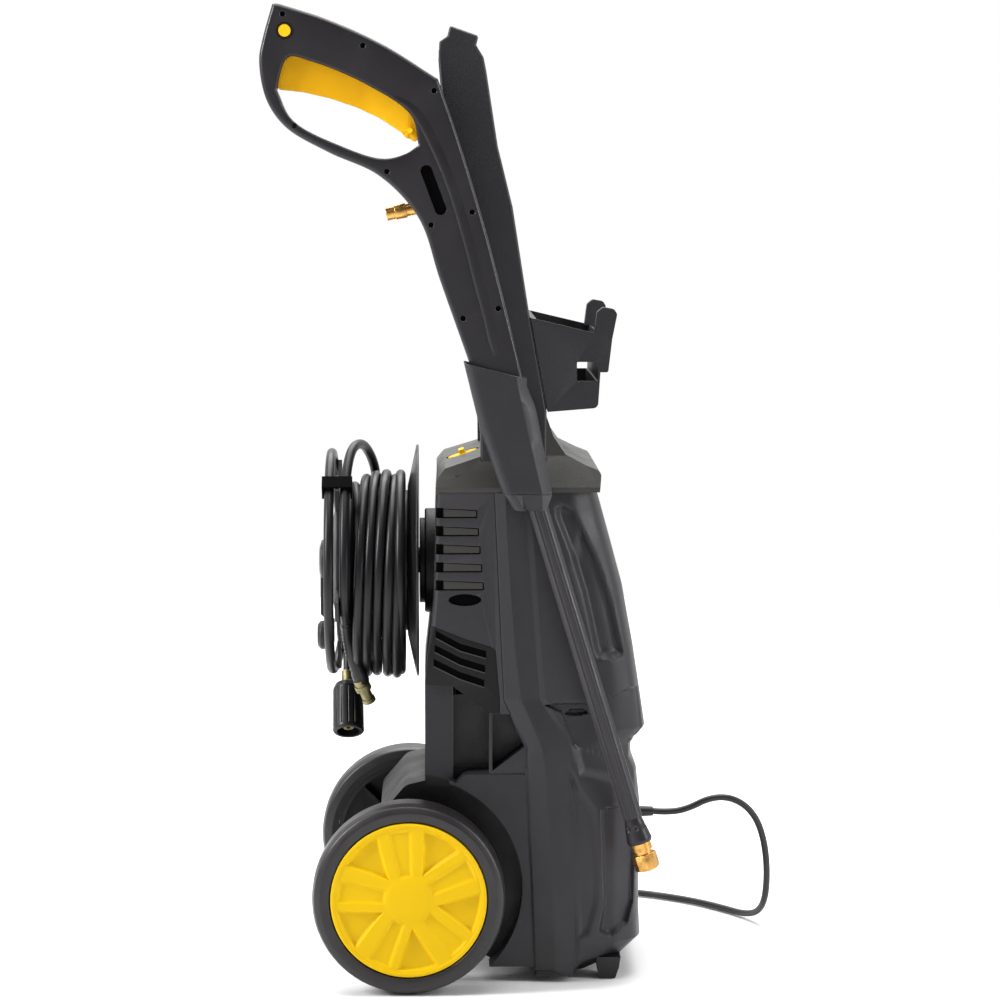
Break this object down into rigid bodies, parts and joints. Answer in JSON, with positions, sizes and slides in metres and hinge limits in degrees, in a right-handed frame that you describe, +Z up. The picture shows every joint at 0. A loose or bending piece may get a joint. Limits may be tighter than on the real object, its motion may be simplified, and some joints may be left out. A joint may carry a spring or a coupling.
{
  "type": "pressure washer",
  "caption": "Upright wheeled electric pressure washer with rear hose reel, holstered spray gun and lance, tall handle and front water fittings.",
  "frame": {"origin": "on the floor, under the middle of the box round the machine without its cords", "axes": "+Z up; +Y towards the back, where the hose reel and the wheels are; -Y towards the front with the water fittings and the cord; spray gun on the -X side"},
  "size_m": [0.4361, 0.4821, 0.8876],
  "materials": {
    "charcoal_plastic": "satin, fine grain",
    "grey_plastic": "satin, fine grain",
    "yellow_plastic": "semi-gloss",
    "tyre_plastic": "satin",
    "steel": "turned",
    "winding": "varnished",
    "brass": "turned",
    "hose_rubber": "smooth gloss",
    "pump_alloy": "cast"
  },
  "bodies": {
    "machine": {"rear_housing": "charcoal_plastic", "louvre_panels": "charcoal_plastic", "front_casing": "charcoal_plastic", "chassis": "charcoal_plastic", "top_cover": "grey_plastic", "switch_box": "charcoal_plastic", "handle_posts": "charcoal_plastic", "handle_grip": "charcoal_plastic", "accessory_tray": "charcoal_plastic", "gun_holster": "charcoal_plastic", "axle": "steel", "axle_caps": "steel", "reel_bracket": "charcoal_plastic", "motor_stator": "winding", "motor_bearings": "steel", "pump_block": "pump_alloy", "pump_pistons": "steel", "piston_springs": "steel", "water_inlet": "brass", "pressure_outlet": "brass", "capacitor": "charcoal_plastic", "pressure_switch": "charcoal_plastic", "cord_gland": "hose_rubber", "power_cord": "hose_rubber", "cord_coil": "hose_rubber", "plug": "hose_rubber", "feet": "hose_rubber", "seam_screws": "steel"},
    "wheel_left": {"tyre_left": "tyre_plastic", "rim_left": "charcoal_plastic", "wheel_cover_left": "yellow_plastic"},
    "wheel_right": {"tyre_right": "tyre_plastic", "rim_right": "charcoal_plastic", "wheel_cover_right": "yellow_plastic"},
    "reel": {"reel_drum": "charcoal_plastic", "reel_inner_flange": "charcoal_plastic", "reel_outer_flange": "charcoal_plastic", "reel_crank": "charcoal_plastic", "hose_coil": "hose_rubber", "hose_clip": "charcoal_plastic", "hose_nipple": "steel"},
    "crank_knob": {"crank_knob": "charcoal_plastic"},
    "hose_nut": {"hose_nut": "charcoal_plastic"},
    "gun": {"gun_shell_left": "charcoal_plastic", "gun_shell_right": "charcoal_plastic", "gun_valve": "brass", "gun_inlet": "brass", "gun_screws": "steel", "trigger_pin": "steel", "lance_tube": "steel", "lance_sleeve": "charcoal_plastic", "lance_flare": "charcoal_plastic", "coupler_body": "brass"},
    "trigger": {"trigger": "yellow_plastic"},
    "lock_button": {"lock_button": "yellow_plastic"},
    "coupler_collar": {"coupler_collar": "brass"},
    "power_switch": {"switch_knob": "yellow_plastic"},
    "rotor": {"motor_rotor": "steel", "motor_fan": "charcoal_plastic", "swash_plate": "steel"}
  },
  "joints": [
    {"name": "wheel_left_spin", "type": "hinge", "parent": "machine", "child": "wheel_left", "pos_m": [-0.144, 0.049, 0.0875], "axis": [1, 0, 0], "continuous": true},
    {"name": "wheel_right_spin", "type": "hinge", "parent": "machine", "child": "wheel_right", "pos_m": [0.144, 0.049, 0.0875], "axis": [1, 0, 0], "continuous": true},
    {"name": "reel_turn", "type": "hinge", "parent": "machine", "child": "reel", "pos_m": [0, 0.08, 0.377], "axis": [0, 1, 0], "continuous": true},
    {"name": "crank_knob_spin", "type": "hinge", "parent": "reel", "child": "crank_knob", "pos_m": [0, 0.13, 0.306], "axis": [0, 1, 0], "continuous": true},
    {"name": "hose_nut_spin", "type": "hinge", "parent": "reel", "child": "hose_nut", "pos_m": [0.042, 0.108, 0.252], "axis": [-0.5707, -0.02, -0.8209], "continuous": true},
    {"name": "gun_lift_out", "type": "slide", "parent": "machine", "child": "gun", "axis": [0, 0.2908, 0.9568], "range_m": [0, 0.5]},
    {"name": "trigger_pull", "type": "hinge", "parent": "gun", "child": "trigger", "pos_m": [-0.14, 0.046, 0.777], "axis": [1, 0, 0], "range_deg": [0, 8], "stiffness_Nm_per_rad": 2, "springref_deg": -8.59},
    {"name": "lock_button_push", "type": "slide", "parent": "gun", "child": "lock_button", "axis": [1, 0, 0], "range_m": [0, 0.004]},
    {"name": "coupler_collar_pull", "type": "slide", "parent": "gun", "child": "coupler_collar", "axis": [0, 0.2908, 0.9568], "range_m": [0, 0.003], "stiffness_N_per_m": 1500, "springref_m": -0.004},
    {"name": "power_switch_turn", "type": "hinge", "parent": "machine", "child": "power_switch", "pos_m": [0, -0.0024, 0.4755], "axis": [0, 0.2978, 0.9546], "range_deg": [0, 90]},
    {"name": "motor_shaft_spin", "type": "hinge", "parent": "machine", "child": "rotor", "pos_m": [0, -0.062, 0.3], "axis": [0, 0, 1], "continuous": true}
  ]
}
